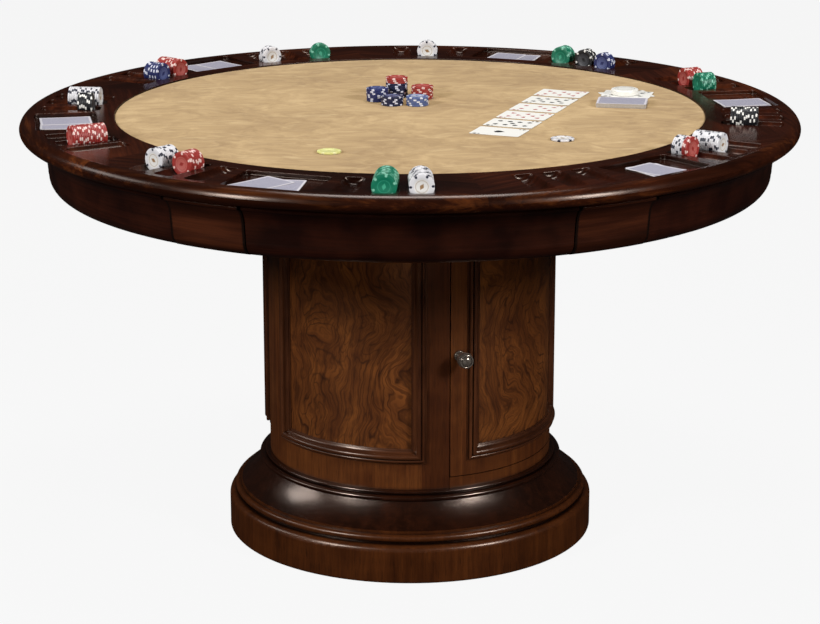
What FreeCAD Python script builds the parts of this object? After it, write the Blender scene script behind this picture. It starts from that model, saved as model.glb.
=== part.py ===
import FreeCAD, Part
import math
import os

# Round card-game table on a drum pedestal. Millimetres, +Z up, origin on the floor at the table's axis.
# Angles are in degrees around the axis, from the front (-Y) towards +X.

Vec = FreeCAD.Vector
ORIGIN = Vec(0, 0, 0)
UP = Vec(0, 0, 1)

# Table top
TOP_HEIGHT = 768.0
RIM_RADIUS = 686.0
RIM_THICKNESS = 28.0
RIM_BOTTOM = TOP_HEIGHT - RIM_THICKNESS
RIM_INNER_RADIUS = 521.0
FELT_RADIUS = 520.4
FELT_TOP = 766.0
FELT_THICKNESS = 1.5
FIELD_BOARD_RADIUS = 520.0
SUB_TOP_THICKNESS = 18.0
SUB_TOP_RADIUS = 612.0

# Six player stations, each with one card tray and six chip troughs
STATION_ANGLES = (-140, -80, -20, 40, 100, 160)
STATION_PITCH = 60.0
TRAY_INNER = 550.5
TRAY_OUTER = 658.0
TRAY_WIDTH = 150.0
TRAY_DEPTH = 8.5
TRAY_CORNER = 8.0
TROUGH_OFFSETS = (-21.6, -16.5, -11.1, 11.1, 16.5, 21.6)
TROUGH_INNER = 550.0
TROUGH_OUTER = 657.0
TROUGH_RADIUS = 20.3
TROUGH_END_ROUND = 8.0
TROUGH_DEPTH = 12.0
TROUGH_AXIS_Z = TOP_HEIGHT - TROUGH_DEPTH + TROUGH_RADIUS
LIP_ROUND = 1.4

# Apron under the rim
APRON_BOTTOM = 649.0
APRON_INNER = 612.0
APRON_BLOCK_ANGLE = 12.7
APRON_BLOCK_PROUD = 1.5
APRON_JOINT_GAP = 0.06
BEAD_NOTCH = 0.22

# Drum
DRUM_RADIUS = 256.0
DRUM_INNER = 236.0
DRUM_BOTTOM = 145.5
DRUM_TOP = 704.0
TOP_RAIL_BOTTOM = 642.0
FRAME_OPENING_BOTTOM = 201.0
FRAME_OPENING_TOP = 604.0
PANEL_OUTER = 251.5
PANEL_INNER = 239.0
MOULDING_WIDTH = 26.0
MOULDING_LAP = 8.0
MOULDING_RADIUS = 265.4
PANEL_CENTRES = (-118.1, -28.1, 151.9)
PANEL_ANGLE = 69.0
LAP_ANGLE = math.degrees(MOULDING_LAP / DRUM_RADIUS)

# Door
DOOR_OPENING = (15.5, 105.5)
DOOR_EDGES = (15.9, 105.3)
DOOR_BOTTOM = 166.5
SILL_GAP = 0.15
DOOR_TOP = 639.0
DOOR_MOULDING = (22.6, 98.4)
HINGE_ANGLE = 105.4
HINGE_AXIS_RADIUS = 262.0
HINGE_HEIGHTS = (262.0, 545.0)
HINGE_LENGTH = 60.0
HINGE_PIN_RADIUS = 2.0
HINGE_RUNNING_GAP = 0.05
HINGE_BARREL_RADIUS = 4.0
LEAF_THICKNESS = 1.3
LEAF_SPACING = 0.15
KNOB_ANGLE = 19.3
KNOB_HEIGHT = 385.2
CATCH_HEIGHT = 585.0
STRIKE_ANGLE = 19.2
STRIKE_FACE = 234.38
STRIKE_GAP = 0.38

# Base
PLINTH_RADIUS = 331.5
PLINTH_INNER = 262.0
PLINTH_BOTTOM = 1.0
PLINTH_TOP = 71.0
BASE_BOARD_TOP = 88.5
FLARE_TOP = 138.6
GLIDE_RADIUS = 12.0
GLIDE_THICKNESS = 4.0
GLIDE_CIRCLE = 305.0
GLIDE_COUNT = 6

# Cabinet inside the drum
CABINET_FLOOR_TOP = 164.0
SHELF_BOTTOM = 380.0
SHELF_THICKNESS = 16.0
SHELF_RADIUS = 230.0
SHELF_PIN_RADIUS = 3.0
SHELF_PIN_ANGLES = (-163.1, -73.1, 11.0, 112.8)

# Chips and cards
CHIP_RADIUS = 20.0
CHIP_THICKNESS = 3.3
CARD_LENGTH = 88.9
CARD_WIDTH = 63.5
CARD_THICKNESS = 0.4
CARD_CORNER = 3.2
RESTING_GAP = 0.2

# Rolls of chips in each station: (trough offset, radius where the roll starts, number of chips)
CHIP_ROLLS = {
    -140: ((-21.6, 559, 4), (-11.1, 559, 6), (11.1, 562, 15), (16.5, 559, 10)),
    -80: ((-16.5, 559, 17), (-11.1, 562, 8), (16.5, 572, 18)),
    -20: ((-21.6, 576, 12), (-16.5, 575, 10), (16.5, 587, 19), (21.6, 587, 19)),
    40: ((11.1, 562, 9), (16.5, 566, 15)),
    100: ((-21.6, 566, 14), (11.1, 570, 9), (16.5, 571, 10)),
    160: ((-21.6, 559, 5), (-16.5, 568, 6), (-11.1, 570, 8), (16.5, 559, 5)),
}
# Stacks on the felt: (x, y, number of chips)
POT_STACKS = ((-59, 95, 7), (-32, 56, 5), (13, 53, 5), (-24, 133, 11), (22, 116, 7),
              (-132, -353, 1), (255, -253, 1))
# The two cards in each tray, lower one first: (radial centre, sideways centre, turn)
TRAY_CARDS = {
    -140: ((605.0, 14.0, -2.4), (603.0, -26.0, 4.0)),
    -80: ((605.0, -2.0, -3.0), (604.0, -41.0, 1.0)),
    -20: ((606.0, 9.0, 12.0), (604.3, -27.0, -24.0)),
    40: ((608.0, 5.0, -7.0), (608.0, 8.0, 6.0)),
    100: ((611.0, -25.0, -1.0), (610.5, -3.0, 2.0)),
    160: ((603.0, -14.0, 2.6), (604.5, 19.0, -2.4)),
}
ROW_CARD_COUNT = 6
ROW_START = (152.0, -186.0)
ROW_END = (278.0, 158.0)
ROW_CARD_TURN = -21.0
DECK_CENTRE = (380.0, 53.0)
DECK_TURN = -8.7
DECK_HEIGHT = 7.5
TURNED_CARDS = ((396.0, 150.0, 15.0), (398.0, 151.0, -14.0))
DISC_CENTRE = (393.0, 149.0)
DISC_RADIUS = 25.0
DISC_THICKNESS = 10.5


def outline(start, *steps):
    """Closed face in the radius-height plane. A step is a point, or a (via, end) pair for an arc."""
    edges = []
    here = Vec(start[0], 0, start[1])
    for step in steps + (start,):
        if isinstance(step[0], tuple):
            via = Vec(step[0][0], 0, step[0][1])
            there = Vec(step[1][0], 0, step[1][1])
            edges.append(Part.Arc(here, via, there).toShape())
        else:
            there = Vec(step[0], 0, step[1])
            edges.append(Part.LineSegment(here, there).toShape())
        here = there
    return Part.Face(Part.Wire(edges))


def turned(face, phi_start=0.0, phi_end=360.0):
    """Revolve a radius-height face about the table's axis, between two angles."""
    face.rotate(ORIGIN, UP, phi_start - 90)
    return face.revolve(ORIGIN, UP, phi_end - phi_start)


def band(r_inner, r_outer, z_low, z_high, phi_start=0.0, phi_end=360.0):
    """Plain ring, or part of one."""
    corners = ((r_inner, z_low), (r_outer, z_low), (r_outer, z_high), (r_inner, z_high))
    return turned(outline(*corners), phi_start, phi_end)


def disc(radius, z_low, z_high):
    return Part.makeCylinder(radius, z_high - z_low, Vec(0, 0, z_low))


def polar(phi, radius, z=0.0):
    angle = math.radians(phi)
    return Vec(radius * math.sin(angle), -radius * math.cos(angle), z)


def facing(shape, phi):
    """Turn a shape drawn with +X pointing outwards so that it points outwards at the given angle."""
    shape.rotate(ORIGIN, UP, phi - 90)
    return shape


def radial_rod(radius, r_start, r_end, z, phi):
    rod = Part.makeCylinder(radius, r_end - r_start, Vec(r_start, 0, z), Vec(1, 0, 0))
    return facing(rod, phi)


def save(name, *shapes):
    solids = [solid for shape in shapes for solid in shape.Solids]
    body = solids[0] if len(solids) == 1 else Part.makeCompound(solids)
    body.exportStep(os.path.join("parts", name + ".step"))
    volume = sum(solid.Volume for solid in solids) / 1000
    print(f"{name}: {len(solids)} solids, {volume:.1f} cm3, valid {body.isValid()}")


# ---------------------------------------------------------------- table top

def rim_profile():
    return outline(
        (RIM_INNER_RADIUS, RIM_BOTTOM),
        (674, RIM_BOTTOM),
        ((683.2, 744.6), (RIM_RADIUS, 754.0)),
        ((680.6, 763.6), (664, TOP_HEIGHT)),
        (RIM_INNER_RADIUS + 1, TOP_HEIGHT),
        ((RIM_INNER_RADIUS + 0.3, TOP_HEIGHT - 0.3), (RIM_INNER_RADIUS, TOP_HEIGHT - 1)),
    )


def tray_cutter():
    length = TRAY_OUTER - TRAY_INNER
    corner = Vec(TRAY_INNER, -TRAY_WIDTH / 2, TOP_HEIGHT - TRAY_DEPTH)
    box = Part.makeBox(length, TRAY_WIDTH, 2 * TRAY_DEPTH, corner)
    upright = [e for e in box.Edges if abs(e.Vertexes[0].Z - e.Vertexes[-1].Z) > 1]
    box = box.makeFillet(TRAY_CORNER, upright)
    floor_edges = [e for e in box.Edges if e.BoundBox.ZMax < corner.z + 0.1]
    return box.makeFillet(2.5, floor_edges)


def trough_cutter():
    length = TROUGH_OUTER - TROUGH_INNER
    rod = Part.makeCylinder(TROUGH_RADIUS, length, Vec(TROUGH_INNER, 0, TROUGH_AXIS_Z), Vec(1, 0, 0))
    ends = [e for e in rod.Edges if isinstance(e.Curve, Part.Circle)]
    return rod.makeFillet(TROUGH_END_ROUND, ends)


def is_recess_lip(edge, station):
    """True for the edges where a tray or trough meets the flat top of the rim."""
    flat = edge.BoundBox.ZMin > TOP_HEIGHT - 0.01 and edge.BoundBox.ZMax < TOP_HEIGHT + 0.01
    middle = edge.valueAt((edge.FirstParameter + edge.LastParameter) / 2)
    radius = math.hypot(middle.x, middle.y)
    phi = math.degrees(math.atan2(middle.x, -middle.y))
    away = abs((phi - station + 180) % 360 - 180)
    return flat and 530 < radius < 662 and away < STATION_PITCH / 2 - 1


def rim_segment(station):
    half = STATION_PITCH / 2
    segment = turned(rim_profile(), station - half, station + half)
    cutters = [facing(tray_cutter(), station)]
    cutters += [facing(trough_cutter(), station + offset) for offset in TROUGH_OFFSETS]
    segment = segment.cut(cutters)
    lips = [edge for edge in segment.Edges if is_recess_lip(edge, station)]
    return segment.makeFillet(LIP_ROUND, lips)


def apron_profile(proud):
    """Bead under the rim, a cove below it, then a gently rounded lower edge."""
    return outline(
        (APRON_INNER, RIM_BOTTOM),
        (648 + proud, RIM_BOTTOM),
        (648 + proud, 736),
        (653 + proud, 736),
        ((657.6 + proud, 731.8), (653 + proud, 727.6)),
        (650 + proud, 726.5),
        ((643.2 + proud, 715), (640 + proud, 700)),
        ((638.4 + proud, 686), (637.4 + proud, 674)),
        ((634.2 + proud, 660.6), (625 + proud, 651.4)),
        ((621.6 + proud, 649.8), (617 + proud, APRON_BOTTOM)),
        (APRON_INNER, APRON_BOTTOM),
    )


def bead_notch(phi):
    """Small gap in the bead where two apron pieces meet."""
    return band(650, 664, 726, 737, phi - BEAD_NOTCH, phi + BEAD_NOTCH)


def apron_piece(phi_start, phi_end, proud):
    piece = turned(apron_profile(proud), phi_start + APRON_JOINT_GAP, phi_end - APRON_JOINT_GAP)
    return piece.cut([bead_notch(phi_start), bead_notch(phi_end)])


def apron_joints(index):
    """Angles of the wide panel and of the narrow block that follows it."""
    half = APRON_BLOCK_ANGLE / 2
    block = 30 + index * STATION_PITCH
    return block - STATION_PITCH + half, block - half, block + half


def top_battens():
    battens = []
    for index in range(4):
        batten = Part.makeBox(302, 45, 32, Vec(304, -22.5, RIM_BOTTOM - SUB_TOP_THICKNESS - 32))
        battens.append(facing(batten, 45 + 90 * index))
    return battens


BOLT_ANGLES = [30 + 60 * index for index in range(6)]
BOLT_CIRCLE = 282.0


def bolt(phi):
    """Hexagon-head bolt with a washer, driven upwards."""
    place = polar(phi, BOLT_CIRCLE, DRUM_TOP)
    shank = Part.makeCylinder(4.0, 30, place)
    washer = Part.makeCylinder(9.0, 1.6, place - Vec(0, 0, 1.6))
    corners = [place + Vec(7.5 * math.cos(a), 7.5 * math.sin(a), -7.1)
               for a in [math.radians(60 * i) for i in range(7)]]
    head = Part.Face(Part.makePolygon(corners)).extrude(Vec(0, 0, 5.5))
    return shank.fuse([washer, head]).removeSplitter()


def bolt_holes():
    return [Part.makeCylinder(4.2, 31, polar(phi, BOLT_CIRCLE, DRUM_TOP - 0.1)) for phi in BOLT_ANGLES]


def build_table_top():
    for index, station in enumerate(STATION_ANGLES):
        save(f"rim_segment_{index + 1}", rim_segment(station))
    save("playing_field_board", disc(FIELD_BOARD_RADIUS, RIM_BOTTOM, FELT_TOP - FELT_THICKNESS))
    save("felt_cloth", disc(FELT_RADIUS, FELT_TOP - FELT_THICKNESS, FELT_TOP))
    sub_top = disc(SUB_TOP_RADIUS, RIM_BOTTOM - SUB_TOP_THICKNESS, RIM_BOTTOM)
    save("sub_top_board", sub_top.cut(bolt_holes()))
    blocks = []
    for index in range(6):
        panel_start, block_start, block_end = apron_joints(index)
        save(f"apron_panel_{index + 1}", apron_piece(panel_start, block_start, 0.0))
        blocks.append(apron_piece(block_start, block_end, APRON_BLOCK_PROUD))
    save("apron_blocks", *blocks)
    save("top_battens", *top_battens())
    plate = disc(300, DRUM_TOP, RIM_BOTTOM - SUB_TOP_THICKNESS)
    save("pedestal_top_plate", plate.cut(bolt_holes()))
    save("top_bolts", *[bolt(phi) for phi in BOLT_ANGLES])


# ---------------------------------------------------------------- drum

def moulding_face(to_point):
    """Section of the panel moulding. to_point maps (distance from the outer edge, radius) to a point."""
    start = (0.0, DRUM_RADIUS)
    steps = (
        (0.0, 257.0),
        (3.6, 257.0),
        (3.6, 259.4),
        ((6.2, 263.0), (8.8, 260.6)),
        (9.8, 260.6),
        (9.8, 264.0),
        ((14.4, MOULDING_RADIUS), (18.4, 261.4)),
        ((20.0, 256.8), (23.4, 254.6)),
        (23.4, 253.4),
        (MOULDING_WIDTH, 252.4),
        (MOULDING_WIDTH, PANEL_OUTER),
        ((MOULDING_WIDTH / 2 + MOULDING_LAP / 2, PANEL_OUTER), (MOULDING_LAP, PANEL_OUTER)),
        (MOULDING_LAP, DRUM_RADIUS),
        ((MOULDING_LAP / 2, DRUM_RADIUS), start),
    )
    edges = []
    here = start
    for step in steps:
        if isinstance(step[0], tuple):
            end = step[1]
            arc_points = [to_point(*point) for point in (here, step[0], end)]
            straight = (arc_points[2] - arc_points[0]).normalize()
            bow = (arc_points[1] - arc_points[0]).cross(straight).Length
            if bow > 1e-6:
                edges.append(Part.Arc(*arc_points).toShape())
            else:
                edges.append(Part.LineSegment(arc_points[0], arc_points[2]).toShape())
        else:
            end = step
            edges.append(Part.LineSegment(to_point(*here), to_point(*end)).toShape())
        here = end
    return Part.Face(Part.Wire(edges))


def lying_stick(z_outer, direction, phi_start, phi_end):
    """Bottom (direction 1) or top (direction -1) stick of a moulding frame."""
    face = moulding_face(lambda across, radius: Vec(radius, 0, z_outer + direction * across))
    return turned(face, phi_start, phi_end)


def standing_stick(phi_outer, direction, z_low, z_high):
    """Left (direction 1) or right (direction -1) stick of a moulding frame."""
    def to_point(across, radius):
        return polar(phi_outer + direction * math.degrees(across / DRUM_RADIUS), radius, z_low)
    return moulding_face(to_point).extrude(Vec(0, 0, z_high - z_low))


def mitre_block(phi_outer, z_outer, side, level):
    """Block on the upright stick's side of the mitre at one corner."""
    half_width = math.degrees(MOULDING_WIDTH / 2 / DRUM_RADIUS)
    phi_mid = phi_outer + side * half_width
    z_mid = z_outer + level * MOULDING_WIDTH / 2
    away = 60.0
    block = Part.makeBox(60, 2 * away, away, Vec(DRUM_RADIUS - 30, -away, 0))
    block.rotate(Vec(DRUM_RADIUS, 0, 0), Vec(1, 0, 0), 45 * side if level > 0 else 45 * side + 90 * side)
    block.translate(Vec(0, 0, z_mid))
    return facing(block, phi_mid)


def moulding_frame(phi_start, phi_end, z_low, z_high):
    """Four mitred sticks: bottom, top, left, right."""
    corners = {(side, level): mitre_block(phi_start if side > 0 else phi_end,
                                          z_low if level > 0 else z_high, side, level)
               for side in (1, -1) for level in (1, -1)}
    bottom = lying_stick(z_low, 1, phi_start, phi_end).cut([corners[1, 1], corners[-1, 1]])
    top = lying_stick(z_high, -1, phi_start, phi_end).cut([corners[1, -1], corners[-1, -1]])
    uprights = []
    for side, phi in ((1, phi_start), (-1, phi_end)):
        stick = standing_stick(phi, side, z_low, z_high)
        middle_block = facing(Part.makeBox(60, 120, z_high - z_low - 120,
                                           Vec(DRUM_RADIUS - 30, -60, z_low + 60)), phi)
        uprights += [stick.common(part) for part in
                     (corners[side, 1].fuse([corners[side, -1], middle_block]),)]
    return [bottom, top] + uprights


def frame_angles(phi_start, phi_end):
    """Opening in the frame behind a moulding, which laps over its edge."""
    return phi_start + LAP_ANGLE, phi_end - LAP_ANGLE


MOULDING_LOW = FRAME_OPENING_BOTTOM - MOULDING_LAP
MOULDING_HIGH = FRAME_OPENING_TOP + MOULDING_LAP


def panel_edges(centre):
    return centre - PANEL_ANGLE / 2, centre + PANEL_ANGLE / 2


def shelf_pin_holes():
    return [radial_rod(SHELF_PIN_RADIUS, 230, 242, SHELF_BOTTOM - SHELF_PIN_RADIUS, phi)
            for phi in SHELF_PIN_ANGLES]


def stile(phi_start, phi_end):
    post = band(DRUM_INNER, DRUM_RADIUS, DRUM_BOTTOM, TOP_RAIL_BOTTOM, phi_start, phi_end)
    return post.cut(shelf_pin_holes())


def build_drum():
    spans = [frame_angles(*panel_edges(centre)) for centre in PANEL_CENTRES]
    rear_left, front_left, rear_right = spans
    save("wide_stiles", stile(rear_left[1], front_left[0]),
         stile(rear_right[1] - 360, rear_left[0]))
    hinge_stile = stile(DOOR_OPENING[1], rear_right[0])
    save("door_posts", stile(front_left[1], DOOR_OPENING[0]), hinge_stile.cut(leaf_pockets()))
    rails = [band(DRUM_INNER, DRUM_RADIUS, low, high, *span) for span in spans
             for low, high in ((DRUM_BOTTOM, FRAME_OPENING_BOTTOM), (FRAME_OPENING_TOP, TOP_RAIL_BOTTOM))]
    rails.append(band(DRUM_INNER, DRUM_RADIUS, DRUM_BOTTOM, DOOR_BOTTOM - 1.5,
                      DOOR_OPENING[0] + SILL_GAP, DOOR_OPENING[1] - SILL_GAP))
    save("drum_rails", *rails)
    save("drum_top_rail", band(DRUM_INNER, DRUM_RADIUS, TOP_RAIL_BOTTOM, DRUM_TOP))
    for index, (centre, span) in enumerate(zip(PANEL_CENTRES, spans)):
        save(f"burl_panel_{index + 1}",
             band(PANEL_INNER, PANEL_OUTER, FRAME_OPENING_BOTTOM, FRAME_OPENING_TOP, *span))
        save(f"panel_moulding_{index + 1}",
             *moulding_frame(*panel_edges(centre), MOULDING_LOW, MOULDING_HIGH))


# ---------------------------------------------------------------- door

def leaf_block(side, thickness, spacing, z, length, r_inner=240.0, r_outer=261.0):
    """Flat leaf beside the hinge plane; side -1 is the door's, side 1 the post's."""
    low = spacing if side > 0 else -spacing - thickness
    block = Part.makeBox(r_outer - r_inner, thickness, length, Vec(r_inner, low, z - length / 2))
    return facing(block, HINGE_ANGLE)


def leaf_pockets():
    """Recesses for the leaves in the edges of the door and of its post."""
    return [leaf_block(side, LEAF_THICKNESS + 0.05, LEAF_SPACING, z, HINGE_LENGTH + 0.2, 239.9, 268.0)
            for z in HINGE_HEIGHTS for side in (-1, 1)]


def knuckle(z_low, z_high):
    place = polar(HINGE_ANGLE, HINGE_AXIS_RADIUS, z_low)
    outer = Part.makeCylinder(HINGE_BARREL_RADIUS, z_high - z_low, place)
    bore = Part.makeCylinder(HINGE_PIN_RADIUS + HINGE_RUNNING_GAP, z_high - z_low, place)
    return outer, bore


def hinge_leaf(side, z):
    """One leaf with its knuckles: the door has the middle one, the post the two outer ones."""
    third = HINGE_LENGTH / 3
    gap = 0.4
    low = z - HINGE_LENGTH / 2
    if side < 0:
        spans = [(low + third + gap, low + 2 * third - gap)]
    else:
        spans = [(low, low + third), (low + 2 * third, low + 3 * third)]
    leaf = leaf_block(side, LEAF_THICKNESS, LEAF_SPACING, z, HINGE_LENGTH)
    clearance = Part.makeCylinder(HINGE_BARREL_RADIUS + 0.4, HINGE_LENGTH + 2,
                                  polar(HINGE_ANGLE, HINGE_AXIS_RADIUS, low - 1))
    outers = [knuckle(*span)[0] for span in spans]
    bores = [knuckle(*span)[1] for span in spans]
    webs = [leaf_block(side, LEAF_THICKNESS, LEAF_SPACING, (a + b) / 2, b - a, 256.0, 261.5)
            for a, b in spans]
    body = leaf.cut(clearance).fuse(webs + outers).cut(bores)
    return body.removeSplitter()


def hinge_pin(z):
    low = polar(HINGE_ANGLE, HINGE_AXIS_RADIUS, z - HINGE_LENGTH / 2 - 1.5)
    pin = Part.makeCylinder(HINGE_PIN_RADIUS, HINGE_LENGTH + 3, low)
    head = Part.makeSphere(3.2, low + Vec(0, 0, HINGE_LENGTH + 3))
    return pin.fuse(head.cut(Part.makeBox(10, 10, 10, low + Vec(-5, -5, HINGE_LENGTH - 8.5)))).removeSplitter()


def knob():
    """Ball knob on a short stem with a raised ring round its face."""
    face = outline(
        (0, 259.2),
        (6.0, 259.2),
        (6.0, 261.0),
        ((4.4, 266.0), (6.0, 273.5)),
        ((10.6, 275.8), (13.1, 282.0)),
        ((13.7, 288.0), (12.0, 293.2)),
        ((10.7, 295.4), (9.2, 293.6)),
        ((5.6, 296.6), (1.6, 297.5)),
        (0, 297.5),
    )
    body = face.revolve(ORIGIN, UP, 360)
    body = body.cut(Part.makeCylinder(2.05, 14, Vec(0, 0, 259.0)))
    body.rotate(ORIGIN, Vec(0, 1, 0), 90)
    body.translate(Vec(0, 0, KNOB_HEIGHT))
    return facing(body, KNOB_ANGLE)


def knob_rosette():
    disc_part = radial_rod(9.0, 255.6, 259.2, KNOB_HEIGHT, KNOB_ANGLE)
    rounded = [e for e in disc_part.Edges if isinstance(e.Curve, Part.Circle) and
               math.hypot(e.Curve.Center.x, e.Curve.Center.y) > 258]
    disc_part = disc_part.makeFillet(1.4, rounded)
    return disc_part.cut([disc(DRUM_RADIUS, 300, 500), radial_rod(2.3, 250, 262, KNOB_HEIGHT, KNOB_ANGLE)])


def knob_screw():
    shank = radial_rod(2.0, 233.0, 271.0, KNOB_HEIGHT, KNOB_ANGLE)
    head = radial_rod(4.6, 232.4, 235.95, KNOB_HEIGHT, KNOB_ANGLE)
    return shank.fuse(head).removeSplitter()


def strike_plate():
    plate = Part.makeBox(1.5, 15, 36, Vec(STRIKE_FACE, -7.5, CATCH_HEIGHT - 18))
    return facing(plate, STRIKE_ANGLE)


def magnetic_catch():
    """Housing behind the post, reaching over the strike plate on the door."""
    foot = facing(Part.makeBox(16.74, 22, 40, Vec(219, -11, CATCH_HEIGHT - 20)), 10.6)
    housing = facing(Part.makeBox(14.6, 30, 40, Vec(219, -6, CATCH_HEIGHT - 20)), 15.0)
    clearance = Part.makeBox(10, 32, 42, Vec(STRIKE_FACE - STRIKE_GAP, -12, CATCH_HEIGHT - 21))
    return foot.fuse(housing).cut(facing(clearance, STRIKE_ANGLE))


def build_door():
    frame_start, frame_end = frame_angles(*DOOR_MOULDING)
    screw_hole = radial_rod(2.2, 230, 260, KNOB_HEIGHT, KNOB_ANGLE)
    knob_side = band(DRUM_INNER, DRUM_RADIUS, DOOR_BOTTOM, DOOR_TOP, DOOR_EDGES[0], frame_start)
    hinge_side = band(DRUM_INNER, DRUM_RADIUS, DOOR_BOTTOM, DOOR_TOP, frame_end, DOOR_EDGES[1])
    save("door_stiles", knob_side.cut(screw_hole), hinge_side.cut(leaf_pockets()))
    save("door_rails",
         band(DRUM_INNER, DRUM_RADIUS, DOOR_BOTTOM, FRAME_OPENING_BOTTOM, frame_start, frame_end),
         band(DRUM_INNER, DRUM_RADIUS, FRAME_OPENING_TOP, DOOR_TOP, frame_start, frame_end))
    save("door_burl_panel", band(PANEL_INNER, PANEL_OUTER, FRAME_OPENING_BOTTOM, FRAME_OPENING_TOP,
                                 frame_start, frame_end))
    save("door_moulding", *moulding_frame(*DOOR_MOULDING, MOULDING_LOW, MOULDING_HIGH))
    save("door_knob", knob())
    save("knob_rosette", knob_rosette())
    save("knob_screw", knob_screw())
    save("hinge_leaves_post", *[hinge_leaf(1, z) for z in HINGE_HEIGHTS])
    save("hinge_leaves_door", *[hinge_leaf(-1, z) for z in HINGE_HEIGHTS])
    save("hinge_pins", *[hinge_pin(z) for z in HINGE_HEIGHTS])
    save("magnetic_catch", magnetic_catch())
    save("strike_plate", strike_plate())


# ---------------------------------------------------------------- base and cabinet

def plinth_profile():
    return outline(
        (PLINTH_INNER, PLINTH_BOTTOM),
        (PLINTH_RADIUS - 1, PLINTH_BOTTOM),
        (PLINTH_RADIUS, PLINTH_BOTTOM + 1),
        (PLINTH_RADIUS, 56.5),
        ((328.6, 64.2), (321.0, 67.4)),
        (313.5, 67.4),
        (313.5, PLINTH_TOP),
        (PLINTH_INNER, PLINTH_TOP),
    )


def base_board_profile():
    """Round board whose edge is turned to a half-round bead with a fillet above."""
    return outline(
        (0, PLINTH_TOP),
        (314.0, PLINTH_TOP),
        ((321.0, 77.2), (314.0, 83.4)),
        (311.0, 83.4),
        (311.0, BASE_BOARD_TOP),
        (0, BASE_BOARD_TOP),
    )


def flare_profile():
    return outline(
        (DRUM_INNER, BASE_BOARD_TOP),
        (309.0, BASE_BOARD_TOP),
        ((286.6, 108.8), (271.4, 129.0)),
        (271.4, 130.2),
        ((275.2, 134.2), (271.4, 138.2)),
        (269.6, FLARE_TOP),
        (DRUM_INNER, FLARE_TOP),
    )


def foot_bead_profile():
    return outline(
        (222.0, FLARE_TOP),
        (262.6, FLARE_TOP),
        (262.6, 139.6),
        ((265.6, 142.4), (262.6, 145.2)),
        (261.4, DRUM_BOTTOM),
        (222.0, DRUM_BOTTOM),
    )


def build_base():
    glide_centres = [polar(360 / GLIDE_COUNT * index, GLIDE_CIRCLE) for index in range(GLIDE_COUNT)]
    pockets = [Part.makeCylinder(GLIDE_RADIUS + 0.1, GLIDE_THICKNESS, centre) for centre in glide_centres]
    save("plinth_ring", turned(plinth_profile()).cut(pockets))
    save("base_board", turned(base_board_profile()))
    save("base_flare_ring", turned(flare_profile()))
    save("foot_bead_ring", turned(foot_bead_profile()))
    save("floor_glides", *[Part.makeCylinder(GLIDE_RADIUS, GLIDE_THICKNESS, centre)
                           for centre in glide_centres])


def build_cabinet():
    save("cabinet_floor", disc(DRUM_INNER - 0.3, DRUM_BOTTOM, CABINET_FLOOR_TOP))
    save("cabinet_shelf", disc(SHELF_RADIUS, SHELF_BOTTOM, SHELF_BOTTOM + SHELF_THICKNESS))
    pins = [radial_rod(SHELF_PIN_RADIUS, 223, 242, SHELF_BOTTOM - SHELF_PIN_RADIUS, phi)
            for phi in SHELF_PIN_ANGLES]
    save("shelf_pins", *pins)


# ---------------------------------------------------------------- chips and cards

def card(x, y, turn, z, thickness=CARD_THICKNESS):
    """Card lying flat with its long side along X before it is turned."""
    blank = Part.makeBox(CARD_LENGTH, CARD_WIDTH, thickness, Vec(-CARD_LENGTH / 2, -CARD_WIDTH / 2, 0))
    corners = [e for e in blank.Edges if abs(e.Vertexes[0].Z - e.Vertexes[-1].Z) > thickness / 2]
    blank = blank.makeFillet(CARD_CORNER, corners)
    blank.rotate(ORIGIN, UP, turn)
    blank.translate(Vec(x, y, z))
    return blank


def chip_roll(station, offset, start, count):
    end = start + count * CHIP_THICKNESS
    return radial_rod(CHIP_RADIUS, start, end, TROUGH_AXIS_Z, station + offset)


def tray_cards(station):
    floor_z = TOP_HEIGHT - TRAY_DEPTH + RESTING_GAP
    step = CARD_THICKNESS + 0.05
    return [facing(card(x, y, turn, floor_z + level * step), station)
            for level, (x, y, turn) in enumerate(TRAY_CARDS[station])]


def build_chips_and_cards():
    felt_z = FELT_TOP + RESTING_GAP
    for index, station in enumerate(STATION_ANGLES):
        save(f"player_chips_{index + 1}", *[chip_roll(station, *roll) for roll in CHIP_ROLLS[station]])
    save("tray_cards", *[item for station in STATION_ANGLES for item in tray_cards(station)])
    save("pot_chips", *[Part.makeCylinder(CHIP_RADIUS, count * CHIP_THICKNESS, Vec(x, y, felt_z))
                        for x, y, count in POT_STACKS])
    steps = ROW_CARD_COUNT - 1
    row = [card(ROW_START[0] + (ROW_END[0] - ROW_START[0]) * index / steps,
                ROW_START[1] + (ROW_END[1] - ROW_START[1]) * index / steps,
                ROW_CARD_TURN, felt_z) for index in range(ROW_CARD_COUNT)]
    turned_over = [card(x, y, turn, felt_z + level * (CARD_THICKNESS + 0.05))
                   for level, (x, y, turn) in enumerate(TURNED_CARDS)]
    save("row_cards", *row, *turned_over)
    save("card_deck", card(*DECK_CENTRE, DECK_TURN, felt_z, DECK_HEIGHT))
    disc_z = felt_z + 2 * CARD_THICKNESS + 0.1
    dealer_disc = Part.makeCylinder(DISC_RADIUS, DISC_THICKNESS, Vec(*DISC_CENTRE, disc_z))
    rims = [e for e in dealer_disc.Edges if isinstance(e.Curve, Part.Circle)]
    save("dealer_disc", dealer_disc.makeFillet(2.2, rims))


os.makedirs("parts", exist_ok=True)
build_table_top()
build_drum()
build_door()
build_base()
build_cabinet()
build_chips_and_cards()
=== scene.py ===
import math
import random

import bpy
import numpy as np
from mathutils import Matrix, Vector


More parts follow.
